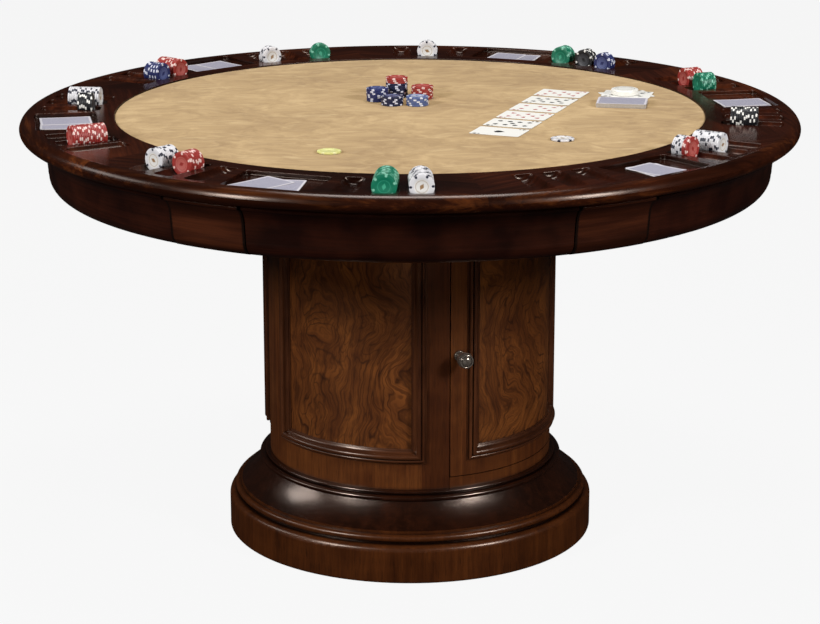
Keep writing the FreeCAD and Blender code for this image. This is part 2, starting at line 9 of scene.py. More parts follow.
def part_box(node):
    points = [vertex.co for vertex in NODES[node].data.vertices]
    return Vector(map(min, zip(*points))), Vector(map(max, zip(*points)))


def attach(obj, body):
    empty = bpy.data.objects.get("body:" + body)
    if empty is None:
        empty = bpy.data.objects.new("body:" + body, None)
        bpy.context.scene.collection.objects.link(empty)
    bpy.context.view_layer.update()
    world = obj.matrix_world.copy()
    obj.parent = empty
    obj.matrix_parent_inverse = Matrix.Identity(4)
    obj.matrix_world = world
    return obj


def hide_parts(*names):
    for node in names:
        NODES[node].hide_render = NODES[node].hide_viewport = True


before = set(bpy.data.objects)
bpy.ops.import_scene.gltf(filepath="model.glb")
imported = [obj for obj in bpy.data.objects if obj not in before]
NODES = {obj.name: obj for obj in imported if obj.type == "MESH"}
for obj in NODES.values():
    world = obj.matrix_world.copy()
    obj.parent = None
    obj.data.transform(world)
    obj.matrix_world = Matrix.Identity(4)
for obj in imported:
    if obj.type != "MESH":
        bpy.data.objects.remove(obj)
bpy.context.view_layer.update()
MM = 0.001
TURN = 2 * math.pi

# Angles are in degrees round the table's axis, from the front towards +X
STATION_FIRST = -20
STATION_PITCH = 60
APRON_BLOCK_MIDDLE = -30
APRON_RADIUS = 0.65
DRUM_RADIUS = 0.256
DRUM_SEAM = -163.1


# ---------------------------------------------------------------- shader building

def srgb(*levels):
    """Linear colour from 0-255 display levels."""
    linear = [(v / 255 / 12.92) if v <= 10 else ((v / 255 + 0.055) / 1.055) ** 2.4 for v in levels]
    return (*linear, 1.0)


class Finish:
    """A Principled material and the node calls that colour it."""

    def __init__(self, name, roughness=0.5, sheen=0.0, metallic=0.0, level=0.5, tint=(1, 1, 1, 1)):
        self.material = bpy.data.materials.new(name)
        self.material.use_nodes = True
        self.nodes = self.material.node_tree.nodes
        self.links = self.material.node_tree.links
        self.bsdf = next(n for n in self.nodes if n.type == "BSDF_PRINCIPLED")
        for socket, value in (("Roughness", roughness), ("Sheen Weight", sheen), ("Metallic", metallic),
                              ("Specular IOR Level", level), ("Specular Tint", tint)):
            self.bsdf.inputs[socket].default_value = value
        self.object = self.nodes.new("ShaderNodeTexCoord").outputs["Object"]

    def put(self, socket, value):
        if isinstance(value, bpy.types.NodeSocket):
            self.links.new(value, socket)
        elif value is not None:
            socket.default_value = value

    def surface(self, socket, value):
        self.put(self.bsdf.inputs[socket], value)

    def math(self, operation, a, b=None, c=None):
        node = self.nodes.new("ShaderNodeMath")
        node.operation = operation
        for socket, value in zip(node.inputs, (a, b, c)):
            self.put(socket, value)
        return node.outputs[0]

    def vector(self, operation, a, b=None):
        node = self.nodes.new("ShaderNodeVectorMath")
        node.operation = operation
        self.put(node.inputs[0], a)
        self.put(node.inputs[1], b)
        return node.outputs["Value" if operation in ("LENGTH", "DOT_PRODUCT", "DISTANCE") else "Vector"]

    def split(self, vector):
        node = self.nodes.new("ShaderNodeSeparateXYZ")
        self.put(node.inputs[0], vector)
        return node.outputs

    def join(self, x, y, z):
        node = self.nodes.new("ShaderNodeCombineXYZ")
        for socket, value in zip(node.inputs, (x, y, z)):
            self.put(socket, value)
        return node.outputs[0]

    def noise(self, vector, scale, detail=2.0, roughness=0.5, distortion=0.0, output="Fac"):
        node = self.nodes.new("ShaderNodeTexNoise")
        for socket, value in (("Vector", vector), ("Scale", scale), ("Detail", detail),
                              ("Roughness", roughness), ("Distortion", distortion)):
            self.put(node.inputs[socket], value)
        return node.outputs[output]

    def wave(self, vector, scale, distortion=0.0, detail=2.0, detail_scale=1.0):
        node = self.nodes.new("ShaderNodeTexWave")
        for socket, value in (("Vector", vector), ("Scale", scale), ("Distortion", distortion),
                              ("Detail", detail), ("Detail Scale", detail_scale)):
            self.put(node.inputs[socket], value)
        return node.outputs["Fac"]

    def ramp(self, factor, *stops):
        """Stops are (position, colour or grey level)."""
        node = self.nodes.new("ShaderNodeValToRGB")
        self.put(node.inputs[0], factor)
        elements = node.color_ramp.elements
        for index, (position, colour) in enumerate(stops):
            element = elements[index] if index < 2 else elements.new(position)
            element.position = position
            element.color = colour if isinstance(colour, tuple) else (colour, colour, colour, 1.0)
        return node.outputs[0]

    def mix(self, factor, a, b, blend="MIX"):
        node = self.nodes.new("ShaderNodeMix")
        node.data_type = "RGBA"
        node.blend_type = blend
        for index, value in ((0, factor), (6, a), (7, b)):
            self.put(node.inputs[index], value)
        return node.outputs[2]

    def bump(self, height, strength, distance):
        node = self.nodes.new("ShaderNodeBump")
        for socket, value in (("Height", height), ("Strength", strength), ("Distance", distance)):
            self.put(node.inputs[socket], value)
        return node.outputs[0]

    def shade_in_hollows(self, distance, low=0.35, high=0.8):
        """Painted shade from ambient occlusion: 1 deep in a hollow, 0 on open surfaces."""
        node = self.nodes.new("ShaderNodeAmbientOcclusion")
        node.samples = 6
        node.inputs["Distance"].default_value = distance
        return self.ramp(node.outputs["AO"], (low, 1.0), (high, 0.0))

    def attribute(self, name):
        node = self.nodes.new("ShaderNodeAttribute")
        node.attribute_name = name
        return node.outputs["Vector"]

    def cylinder(self, seam, radius):
        """(arc length, radius, height) round the table's axis, with the jump at the seam angle in degrees."""
        turn = self.nodes.new("ShaderNodeVectorRotate")
        turn.rotation_type = "Z_AXIS"
        self.put(turn.inputs["Vector"], self.object)
        turn.inputs["Angle"].default_value = -math.radians(seam + 180)
        x, y, z = self.split(turn.outputs[0])
        phi = self.math("ARCTAN2", x, self.math("MULTIPLY", y, -1.0))
        out = self.vector("LENGTH", self.join(x, y, 0.0))
        return self.math("MULTIPLY", phi, radius), out, z

    def sector(self, first, pitch):
        """Place within equal sectors round the axis: (sector number, sideways, outwards, height)."""
        x, y, z = self.split(self.object)
        phi = self.math("ARCTAN2", x, self.math("MULTIPLY", y, -1.0))
        place = self.math("MULTIPLY_ADD", phi, 1 / math.radians(pitch), 0.5 - first / pitch)
        number = self.math("FLOOR", place)
        local = self.math("SUBTRACT", self.math("FRACT", place), 0.5)
        local = self.math("MULTIPLY", local, math.radians(pitch))
        out = self.vector("LENGTH", self.join(x, y, 0.0))
        across = self.math("MULTIPLY", out, self.math("SINE", local))
        along = self.math("MULTIPLY", out, self.math("COSINE", local))
        return number, across, along, z


def grain_noise(f, grain, across, along, **settings):
    """Noise drawn out along the grain. grain is (side, side, along); scales are per metre."""
    stretched = f.vector("MULTIPLY", grain, (across, across, along))
    return f.noise(stretched, 1.0, **settings)


def wood(name, place, dark, mid, light, glaze_and_shade, hollow=0.006, patch=0.35, pores=0.5, **finish):
    """Stained, glazed and lacquered wood, with painted shade in its recesses. place(f) gives (side, side, along
    the grain) in metres.
    """
    f = Finish(name, **finish)
    grain = f.join(*place(f))
    broad = grain_noise(f, grain, 9, 1.6, detail=3.0)
    streaks = grain_noise(f, grain, 75, 3.0, detail=4.0, roughness=0.6, distortion=0.4)
    fine = grain_noise(f, grain, 420, 8.0, detail=2.0)
    blotches = f.noise(grain, 14.0, detail=3.0)
    tone = f.math("ADD", f.math("MULTIPLY", broad, patch), f.math("MULTIPLY", streaks, 1 - patch))
    colour = f.ramp(tone, (0.3, dark), (0.5, mid), (0.7, light))
    colour = f.mix(f.ramp(blotches, (0.4, 0.0), (0.7, 0.6)), colour, light)
    colour = f.mix(f.ramp(fine, (0.4, 0.3), (0.55, 0.0)), colour, dark)
    pits = f.ramp(grain_noise(f, grain, 1500, 40, detail=0.0), (0.62, 0.0), (0.7, pores))
    colour = f.mix(pits, colour, glaze_and_shade)
    # Painted shade: recesses darkened towards the glaze colour by ambient occlusion
    colour = f.mix(f.shade_in_hollows(hollow), colour, glaze_and_shade)
    f.surface("Base Color", colour)
    f.surface("Normal", f.bump(f.math("SUBTRACT", f.math("MULTIPLY", fine, 0.3), pits), 0.25, 0.0002))
    return f.material


def upright(f):
    return f.cylinder(DRUM_SEAM, DRUM_RADIUS)


def along_apron(f):
    arc, out, z = f.cylinder(180, APRON_RADIUS)
    return z, out, arc


def mitred(name, centre, half_arc, low, high, **finish):
    """Moulding stock: grain runs along each stick of a frame and turns at the mitres."""
    def place(f):
        arc, out, z = f.cylinder(centre + 180, DRUM_RADIUS)
        side = f.math("SUBTRACT", half_arc, f.math("ABSOLUTE", arc))
        middle, half = (low + high) / 2, (high - low) / 2
        end = f.math("SUBTRACT", half, f.math("ABSOLUTE", f.math("SUBTRACT", z, middle)))
        lying = f.math("LESS_THAN", end, side)
        across = f.math("MULTIPLY_ADD", lying, f.math("SUBTRACT", z, arc), arc)
        along = f.math("MULTIPLY_ADD", lying, f.math("SUBTRACT", arc, z), z)
        return across, out, along
    return wood(name, place, **finish)


# ---------------------------------------------------------------- wood

# Dark glaze colour of pores and joints, and also the colour of the painted shade in recesses
GLAZE_AND_SHADE = srgb(14, 5, 3)
AMBER = (1.0, 0.8, 0.68, 1.0)
APRON_LACQUER = dict(roughness=0.3, level=0.5, tint=AMBER)
MOULDING = dict(dark=srgb(38, 17, 8), mid=srgb(62, 31, 15), light=srgb(86, 48, 26), glaze_and_shade=GLAZE_AND_SHADE,
                hollow=0.006, roughness=0.28, level=0.65, tint=AMBER)

frame_wood = wood("frame_wood", upright, srgb(52, 23, 8), srgb(78, 39, 15), srgb(104, 58, 25), GLAZE_AND_SHADE,
                  hollow=0.01, roughness=0.36, tint=AMBER)
post_wood = wood("post_wood", upright, srgb(38, 15, 5), srgb(60, 27, 10), srgb(82, 42, 17), GLAZE_AND_SHADE,
                 hollow=0.014, roughness=0.36, tint=AMBER)
base_wood = wood("base_wood", upright, srgb(42, 17, 5), srgb(62, 29, 9), srgb(84, 43, 16), GLAZE_AND_SHADE,
                 hollow=0.01, roughness=0.3, level=0.6, tint=AMBER)
# Darker copy of base_wood for the flare and the foot bead: painted shade, as these face up under the table
# top's overhang
flare_wood_in_painted_shade = wood("flare_wood_in_painted_shade", upright, srgb(18, 5, 2), srgb(28, 10, 4), srgb(48, 21, 9), GLAZE_AND_SHADE,
                  hollow=0.01, roughness=0.2, level=1.0, tint=AMBER)


def rim_wood():
    """Dark veneer in six sectors with a browner solid edge; grain runs across each sector."""
    f = Finish("rim_wood", roughness=0.24, level=0.3, tint=AMBER)
    number, across, along, z = f.sector(STATION_FIRST, STATION_PITCH)
    shift = f.math("MULTIPLY", number, 7.3)
    grain = f.join(f.math("ADD", along, shift), z, across)
    broad = grain_noise(f, grain, 14, 3.0, detail=3.0)
    streaks = grain_noise(f, grain, 120, 4.5, detail=4.0, roughness=0.6, distortion=0.5)
    fine = grain_noise(f, grain, 600, 14.0, detail=2.0)
    tone = f.math("ADD", f.math("MULTIPLY", broad, 0.5), f.math("MULTIPLY", streaks, 0.5))
    top = f.ramp(tone, (0.34, srgb(26, 8, 3)), (0.5, srgb(46, 17, 8)), (0.66, srgb(76, 34, 16)))
    edge = f.ramp(tone, (0.32, srgb(24, 7, 3)), (0.5, srgb(46, 18, 7)), (0.68, srgb(94, 48, 19)))
    x, y, _ = f.split(f.object)
    flat = f.join(x, y, 0.0)
    outer = f.math("MULTIPLY_ADD", f.vector("LENGTH", flat), 50.0, -33.0)
    colour = f.mix(f.ramp(outer, (0.15, 0.0), (0.6, 1.0)), top, edge)
    shade = f.ramp(f.math("FRACT", f.math("MULTIPLY", number, 0.37)), (0.0, 0.75), (1.0, 1.2))
    colour = f.mix(1.0, colour, shade, "MULTIPLY")
    cloudy = f.noise(flat, 4.5, detail=2.0)
    colour = f.mix(1.0, colour, f.ramp(cloudy, (0.36, 0.6), (0.5, 0.95), (0.64, 1.35)), "MULTIPLY")
    colour = f.mix(f.ramp(fine, (0.4, 0.3), (0.55, 0.0)), colour, srgb(28, 9, 4))
    # Painted shade: recesses darkened towards the glaze colour by ambient occlusion
    colour = f.mix(f.shade_in_hollows(0.016, 0.45, 0.9), colour, GLAZE_AND_SHADE)
    f.surface("Base Color", colour)
    f.surface("Normal", f.bump(fine, 0.12, 0.0002))
    return f.material


def apron_panel_wood():
    return wood("apron_panel_wood", along_apron, srgb(17, 4, 2), srgb(27, 7, 4), srgb(54, 22, 11), GLAZE_AND_SHADE,
                hollow=0.008, patch=0.6, pores=0.3, **APRON_LACQUER)


def apron_block_wood():
    """Browner than the panels, with a dark glazed line in the joints on both sides of a block."""
    f = Finish("apron_block_wood", **APRON_LACQUER)
    grain = f.join(*along_apron(f))
    tone = grain_noise(f, grain, 40, 4.0, detail=4.0, distortion=0.4)
    fine = grain_noise(f, grain, 420, 8.0, detail=2.0)
    colour = f.ramp(tone, (0.32, srgb(30, 10, 4)), (0.5, srgb(46, 18, 8)), (0.68, srgb(70, 33, 17)))
    colour = f.mix(f.ramp(fine, (0.4, 0.3), (0.55, 0.0)), colour, srgb(30, 10, 4))
    _, across, along, _ = f.sector(APRON_BLOCK_MIDDLE, STATION_PITCH)
    side = f.math("ABSOLUTE", f.math("DIVIDE", across, along))
    colour = f.mix(f.ramp(side, (0.1035, 0.0), (0.1055, 1.0)), colour, GLAZE_AND_SHADE)
    f.surface("Base Color", colour)
    f.surface("Normal", f.bump(fine, 0.15, 0.0002))
    return f.material


def burl_wood():
    """Crotch and burl veneer: wavy dark figure lines that run upwards, closed swirls and cloudy blotches."""
    f = Finish("burl_veneer", roughness=0.4, level=0.5, tint=AMBER)
    arc, _, z = f.cylinder(DRUM_SEAM, DRUM_RADIUS)
    sheet = f.join(arc, 0.0, z)
    swirl = f.vector("SUBTRACT", f.noise(sheet, 6.0, detail=1.0, output="Color"), (0.5, 0.5, 0.5))
    curl = f.vector("SUBTRACT", f.noise(sheet, 24.0, detail=2.0, output="Color"), (0.5, 0.5, 0.5))
    bent = f.vector("ADD", sheet, f.vector("ADD", f.vector("MULTIPLY", swirl, (0.22, 0.0, 0.1)),
                                           f.vector("MULTIPLY", curl, (0.03, 0.0, 0.03))))
    cloud = f.noise(f.vector("MULTIPLY", bent, (20.0, 1.0, 11.0)), 1.0, detail=4.0, roughness=0.6)
    colour = f.ramp(cloud, (0.3, srgb(70, 34, 13)), (0.5, srgb(98, 53, 21)), (0.7, srgb(126, 72, 30)))
    hair = f.noise(f.vector("MULTIPLY", bent, (520.0, 1.0, 40.0)), 1.0, detail=3.0)
    colour = f.mix(f.ramp(hair, (0.4, 0.5), (0.56, 0.0)), colour, srgb(50, 22, 8))
    level = f.noise(f.vector("MULTIPLY", bent, (14.0, 1.0, 5.0)), 1.0, detail=1.5, distortion=0.4)
    contour = f.math("FRACT", f.math("MULTIPLY", level, 21.0))
    where = f.ramp(f.noise(sheet, 12.0, detail=3.0), (0.36, 0.05), (0.56, 0.85))
    figure = f.mix(1.0, f.ramp(contour, (0.0, 0.0), (0.4, 0.0), (0.52, 1.0), (0.66, 0.0)), where, "MULTIPLY")
    colour = f.mix(figure, colour, srgb(34, 14, 5))
    lines = f.wave(bent, 17.0, distortion=5.0, detail=3.0, detail_scale=1.6)
    colour = f.mix(f.ramp(lines, (0.0, 0.45), (0.2, 0.0)), colour, srgb(40, 17, 6))
    knots = f.noise(f.vector("MULTIPLY", bent, (34.0, 1.0, 26.0)), 1.0, detail=3.0)
    colour = f.mix(f.ramp(knots, (0.6, 0.0), (0.7, 0.55)), colour, srgb(40, 17, 7))
    # Painted shade: recesses darkened towards the glaze colour by ambient occlusion
    colour = f.mix(f.shade_in_hollows(0.012, 0.3, 0.85), colour, GLAZE_AND_SHADE)
    f.surface("Base Color", colour)
    f.surface("Normal", f.bump(hair, 0.15, 0.0002))
    return f.material


def board_wood():
    """Unfinished plywood of the parts that are out of sight."""
    f = Finish("plywood", roughness=0.7)
    ply_thickness = 0.0028
    x, y, z = f.split(f.object)
    plies = f.math("FRACT", f.math("MULTIPLY", z, 1 / ply_thickness))
    face = grain_noise(f, f.join(y, z, x), 60, 2.5, detail=3.0)
    colour = f.ramp(face, (0.3, srgb(150, 112, 70)), (0.7, srgb(190, 152, 104)))
    colour = f.mix(f.ramp(plies, (0.46, 0.0), (0.54, 0.22)), colour, srgb(110, 74, 42))
    f.surface("Base Color", colour)
    f.surface("Normal", f.bump(face, 0.2, 0.0003))
    return f.material


def felt_suede():
    """Brushed microsuede: nap strokes that drift, soft patches and lighter wisps."""
    f = Finish("felt", roughness=0.92, sheen=0.12, level=0.2)
    x, y, _ = f.split(f.object)
    flat = f.join(x, y, 0.0)
    drift = f.vector("SUBTRACT", f.noise(flat, 5.0, detail=3.0, output="Color"), (0.5, 0.5, 0.5))
    brushed = f.vector("ADD", flat, f.vector("MULTIPLY", drift, (0.2, 0.12, 0.0)))
    strokes = f.noise(f.vector("MULTIPLY", brushed, (24.0, 34.0, 1.0)), 1.0, detail=5.0, roughness=0.7,
                      distortion=0.6)
    patches = f.noise(brushed, 5.0, detail=3.0)
    nap = f.noise(flat, 900.0, detail=2.0)
    tone = f.math("ADD", f.math("MULTIPLY", strokes, 0.55), f.math("MULTIPLY", patches, 0.45))
    colour = f.ramp(tone, (0.38, srgb(150, 119, 74)), (0.5, srgb(170, 139, 91)), (0.62, srgb(189, 158, 109)))
    wisps = f.noise(f.vector("MULTIPLY", brushed, (16.0, 60.0, 1.0)), 1.0, detail=3.0, distortion=0.8)
    colour = f.mix(f.ramp(wisps, (0.58, 0.0), (0.72, 0.4)), colour, srgb(212, 184, 136))
    colour = f.mix(f.ramp(nap, (0.35, 0.25), (0.6, 0.0)), colour, srgb(136, 107, 68))
    f.surface("Base Color", colour)
    f.surface("Normal", f.bump(nap, 0.3, 0.0006))
    return f.material


def metal(name, colour, worn, roughness, metallic=1.0):
    f = Finish(name, roughness=roughness, metallic=metallic)
    cloud = f.noise(f.object, 160.0, detail=4.0)
    base = f.ramp(cloud, (0.35, colour), (0.7, worn))
    # Painted shade: recesses darkened by ambient occlusion
    base = f.mix(f.shade_in_hollows(0.003, 0.3, 0.8), base, srgb(12, 10, 9))
    f.surface("Base Color", base)
    rubbed = f.noise(f.object, 700.0, detail=3.0)
    f.surface("Roughness", f.ramp(rubbed, (0.3, roughness * 0.8), (0.7, roughness * 1.2)))
    f.surface("Normal", f.bump(cloud, 0.1, 0.0002))
    return f.material


def plastic(name, colour, roughness=0.45):
    f = Finish(name, roughness=roughness)
    speck = f.noise(f.object, 1200.0, detail=2.0)
    darker = f.mix(1.0, colour, (0.7, 0.7, 0.7, 1), "MULTIPLY")
    f.surface("Base Color", f.mix(f.ramp(speck, (0.4, 0.25), (0.6, 0.0)), colour, darker))
    f.surface("Normal", f.bump(speck, 0.08, 0.0002))
    return f.material


# ---------------------------------------------------------------- chips and cards: finishes (millimetres)

CHIP_SPOTS = 6
SPOT_CIRCLE, SPOT_RADIUS, STRIPE_HALF = 17.0, 2.1, 2.4
CHIP_SIDE = 19.3
INLAY_RADIUS, RING_RADIUS, RING_HALF, LOZENGE_HALF, LOZENGE_SLOPE = 12.1, 9.6, 0.3, 3.4, 0.62
CARD_LENGTH, CARD_WIDTH, CARD_CORNER, CARD_THICKNESS = 88.9, 63.5, 3.2, 0.34
CARD_BORDER = 3.85


def chip_finish(name, body, spot, inlay, mark):
    """Moulded chip: edge spots that wrap on to the face, a ring, and a plain printed inlay."""
    f = Finish("chip_" + name, roughness=0.42, level=0.5)
    x, y, _ = f.split(f.attribute("chip_place"))
    out = f.vector("LENGTH", f.join(x, y, 0.0))
    turn = f.math("MULTIPLY", f.math("ARCTAN2", y, x), CHIP_SPOTS / TURN)
    sector = f.math("SUBTRACT", f.math("FRACT", turn), 0.5)
    arc = f.math("MULTIPLY", sector, TURN / CHIP_SPOTS * SPOT_CIRCLE)
    away = f.vector("LENGTH", f.join(arc, f.math("SUBTRACT", out, SPOT_CIRCLE), 0.0))
    side = f.math("GREATER_THAN", out, CHIP_SIDE)
    stripe = f.math("MULTIPLY", side, f.math("LESS_THAN", f.math("ABSOLUTE", arc), STRIPE_HALF))
    dot = f.math("LESS_THAN", away, SPOT_RADIUS)
    colour = f.mix(f.math("MAXIMUM", stripe, dot), body, spot)
    inner = f.math("LESS_THAN", out, INLAY_RADIUS)
    ring = f.math("LESS_THAN", f.math("ABSOLUTE", f.math("SUBTRACT", out, RING_RADIUS)), RING_HALF)
    slant = f.math("MULTIPLY", f.math("ABSOLUTE", y), LOZENGE_SLOPE)
    lozenge = f.math("LESS_THAN", f.math("ADD", f.math("ABSOLUTE", x), slant), LOZENGE_HALF)
    label = f.mix(f.math("MAXIMUM", ring, lozenge), inlay, mark)
    colour = f.mix(inner, colour, label)
    speck = f.noise(f.attribute("chip_place"), 2.2, detail=2.0)
    darker = f.mix(1.0, colour, (0.6, 0.6, 0.6, 1), "MULTIPLY")
    colour = f.mix(f.ramp(speck, (0.4, 0.18), (0.62, 0.0)), colour, darker)
    f.surface("Base Color", colour)
    f.surface("Normal", f.bump(speck, 0.1, 0.0002))
    return f.material


# Body, edge spots, inlay and printed mark
CHIP_COLOURS = {
    "red": (srgb(152, 48, 42), srgb(228, 196, 188), srgb(178, 90, 82), srgb(146, 44, 40)),
    "white": (srgb(214, 212, 214), srgb(34, 36, 52), srgb(222, 219, 214), srgb(150, 118, 84)),
    "black": (srgb(20, 20, 24), srgb(232, 229, 222), srgb(60, 60, 64), srgb(24, 24, 26)),
    "green": (srgb(10, 108, 80), srgb(120, 186, 160), srgb(14, 112, 84), srgb(60, 156, 124)),
    "blue": (srgb(34, 42, 92), srgb(206, 208, 222), srgb(84, 92, 136), srgb(34, 42, 92)),
    "night": (srgb(24, 30, 62), srgb(206, 208, 222), srgb(90, 96, 130), srgb(24, 30, 62)),
    "sky": (srgb(84, 100, 146), srgb(214, 216, 224), srgb(168, 176, 196), srgb(60, 78, 132)),
    "lime": (srgb(214, 212, 134), srgb(224, 222, 168), srgb(220, 218, 150), srgb(206, 204, 126)),
}


def card_back():
    """Woven lattice inside a plain border."""
    f = Finish("card_back", roughness=0.38, level=0.4)
    x, y, _ = f.split(f.attribute("card_place"))
    border = f.math("MAXIMUM", f.math("SUBTRACT", f.math("ABSOLUTE", x), CARD_LENGTH / 2 - CARD_BORDER),
                    f.math("SUBTRACT", f.math("ABSOLUTE", y), CARD_WIDTH / 2 - CARD_BORDER))
    lattice = f.math("MULTIPLY", f.math("SINE", f.math("MULTIPLY", f.math("ADD", x, y), 2.1)),
                     f.math("SINE", f.math("MULTIPLY", f.math("SUBTRACT", x, y), 2.1)))
    colour = f.ramp(lattice, (0.4, srgb(151, 149, 165)), (0.6, srgb(198, 194, 200)))
    colour = f.mix(f.math("GREATER_THAN", border, 0.0), colour, srgb(208, 204, 210))
    f.surface("Base Color", colour)
    f.surface("Normal", f.bump(f.noise(f.attribute("card_place"), 3.0), 0.05, 0.0001))
    return f.material


def card_paper(name, colour, shade):
    f = Finish(name, roughness=0.42, level=0.4)
    tone = f.noise(f.attribute("card_place"), 0.6, detail=3.0)
    f.surface("Base Color", f.ramp(tone, (0.3, shade), (0.7, colour)))
    f.surface("Normal", f.bump(f.noise(f.attribute("card_place"), 3.0), 0.05, 0.0001))
    return f.material


def disc_finish():
    """Ivory plastic with two turned lines on its face."""
    f = Finish("disc_plastic", roughness=0.3)
    x, y, _ = f.split(f.attribute("chip_place"))
    out = f.vector("LENGTH", f.join(x, y, 0.0))
    speck = f.noise(f.attribute("chip_place"), 0.8, detail=2.0)
    colour = f.ramp(speck, (0.3, srgb(226, 224, 216)), (0.7, srgb(238, 236, 230)))
    groove = f.math("LESS_THAN", f.math("ABSOLUTE", f.math("SUBTRACT", out, 18.0)), 0.35)
    fine = f.math("LESS_THAN", f.math("ABSOLUTE", f.math("SUBTRACT", out, 13.5)), 0.2)
    colour = f.mix(f.math("MAXIMUM", groove, fine), colour, srgb(120, 112, 96))
    f.surface("Base Color", colour)
    return f.material


# ---------------------------------------------------------------- mesh building

def piece(name, vertices, faces, materials, body, replaces=(), face_materials=None, place=None,
          smooth=40):
    """Mesh object that rides on a body. place is (attribute name, one vector per vertex)."""
    mesh = bpy.data.meshes.new(name)
    mesh.from_pydata([tuple(v) for v in vertices], [], [tuple(f) for f in faces])
    for material in materials:
        mesh.materials.append(material)
    if face_materials is not None:
        mesh.polygons.foreach_set("material_index", face_materials)
    if place is not None:
        layer = mesh.attributes.new(place[0], "FLOAT_VECTOR", "POINT")
        layer.data.foreach_set("vector", np.asarray(place[1], np.float32).ravel())
    mesh.update()
    obj = bpy.data.objects.new(name, mesh)
    bpy.context.scene.collection.objects.link(obj)
    mesh.polygons.foreach_set("use_smooth", [True] * len(mesh.polygons))
    mesh.set_sharp_from_angle(angle=math.radians(smooth))
    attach(obj, body)
    if replaces:
        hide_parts(*replaces)
    return obj


def islands(node):
    """Separate solids of a CAD node, in mesh order, each as an array of its corner points."""
    mesh = NODES[node].data
    points = np.array([v.co for v in mesh.vertices], float)
    welded, index = np.unique(np.round(points, 6), axis=0, return_inverse=True)
    index = index.reshape(-1)
    parent = list(range(len(welded)))

    def root(i):
        while parent[i] != i:
            parent[i] = parent[parent[i]]
            i = parent[i]
        return i

    for polygon in mesh.polygons:
        corners = [root(index[v]) for v in polygon.vertices]
        for corner in corners[1:]:
            parent[root(corner)] = root(corners[0])
    groups = {}
    for i in range(len(welded)):
        groups.setdefault(root(i), []).append(i)
    first = {key: int(np.min(np.nonzero(np.isin(index, members))[0])) for key, members in groups.items()}
    return [welded[groups[key]] for key in sorted(groups, key=first.get)]


def lathe(profile, segments):
    """Closed shape turned about Z from a top-to-bottom profile that starts and ends on the axis."""
    rings = profile[1:-1]
    angles = [TURN * i / segments for i in range(segments)]
    vertices = [(0, 0, profile[0][1])]
    vertices += [(r * math.cos(a), r * math.sin(a), z) for r, z in rings for a in angles]
    vertices.append((0, 0, profile[-1][1]))
    last = len(vertices) - 1
    faces = []
    for i in range(segments):
        j = (i + 1) % segments
        faces.append((0, 1 + i, 1 + j))
        for ring in range(len(rings) - 1):
            a, b = 1 + ring * segments, 1 + (ring + 1) * segments
            faces.append((a + i, b + i, b + j, a + j))
        a = 1 + (len(rings) - 1) * segments
        faces.append((a + i, last, a + j))
    return np.array(vertices, float), faces


# ---------------------------------------------------------------- chips

CHIP_THICKNESS = 3.3
CHIP_PROFILE = ((0, 1.46), (11.9, 1.46), (12.2, 1.63), (18.8, 1.63), (19.6, 1.35), (19.9, 0.9), (19.9, -0.9),
                (19.6, -1.35), (18.8, -1.63), (12.2, -1.63), (11.9, -1.46), (0, -1.46))
CHIP_MESH = lathe(CHIP_PROFILE, 48)

# Chip colours along each station's rolls, in order of angle; a tuple counts chips from the inner end
ROLL_COLOURS = (
    ("green", "white", "red", "blue"),
    ("white", "black", "red"),
    ("white", "red", "green", "white"),
    ((("white", 6), ("red", 3)), "white"),
    ("black", "green", "red"),
    ("blue", "black", "green", "white"),
)
POT_COLOURS = ("blue", "night", "sky", (("night", 8), ("red", 3)), "red", "lime", "white")


def chip_colour(plan, index):
    """Colour of one chip of a roll or stack: the plan is one colour, or (colour, count) pairs in order."""
    if isinstance(plan, str):
        return plan
    for colour, count in plan:
        if index < count:
            return colour
        index -= count
    return plan[-1][0]


def chip_pile(name, start, direction, count, plan, body, rng, wander, node):
    """Chips in a row from a start point along a direction, each turned by chance. wander is in millimetres."""
    turn_to = direction.to_track_quat("Z", "Y").to_matrix()
    verts, faces, marks, places, used = [], [], [], [], []
    base, base_faces = CHIP_MESH
    for index in range(count):
        colour = chip_colour(plan, index)
        if colour not in used:
            used.append(colour)
        spin = np.array(Matrix.Rotation(rng.uniform(0, TURN), 3, "Z"))
        shift = np.array((rng.uniform(-wander, wander), rng.uniform(-wander, wander),
                          (index + 0.5) * CHIP_THICKNESS))
        local = base @ spin.T + shift
        first = len(places)
        verts.append((local * MM) @ np.array(turn_to).T + np.array(start))
        faces += [tuple(first + v for v in face) for face in base_faces]
        marks += [used.index(colour)] * len(base_faces)
        places.extend(base.tolist())
    finishes = [CHIP_MATERIALS[c] for c in used]
    piece(name, np.concatenate(verts), faces, finishes, body, node, marks, ("chip_place", places), 30)


def station_chips(rng):
    """Rolls of chips that lie outwards in the troughs, in order of angle within each station."""
    for number, plans in enumerate(ROLL_COLOURS, start=1):
        node = f"player_chips_{number}"
        rolls = []
        for points in islands(node):
            centre = Vector(points.mean(0))
            out = Vector((centre.x, centre.y, 0)).normalized()
            reach = points @ np.array(out)
            rolls.append((math.atan2(centre.x, -centre.y), centre, out, reach.min(), reach.max()))
        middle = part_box(f"rim_segment_{number}")
        facing = math.atan2(sum(c.x for c in middle), -sum(c.y for c in middle))
        rolls.sort(key=lambda roll: math.remainder(roll[0] - facing, TURN))
        for index, ((_, centre, out, low, high), plan) in enumerate(zip(rolls, plans)):
            start = out * low
            start.z = centre.z
            count = round((high - low) / (CHIP_THICKNESS * MM))
            chip_pile(f"chips_{number}_{index + 1}", start, out, count, plan, f"chip_set_{number}", rng, 0.08,
                      (node,) if index == 0 else ())


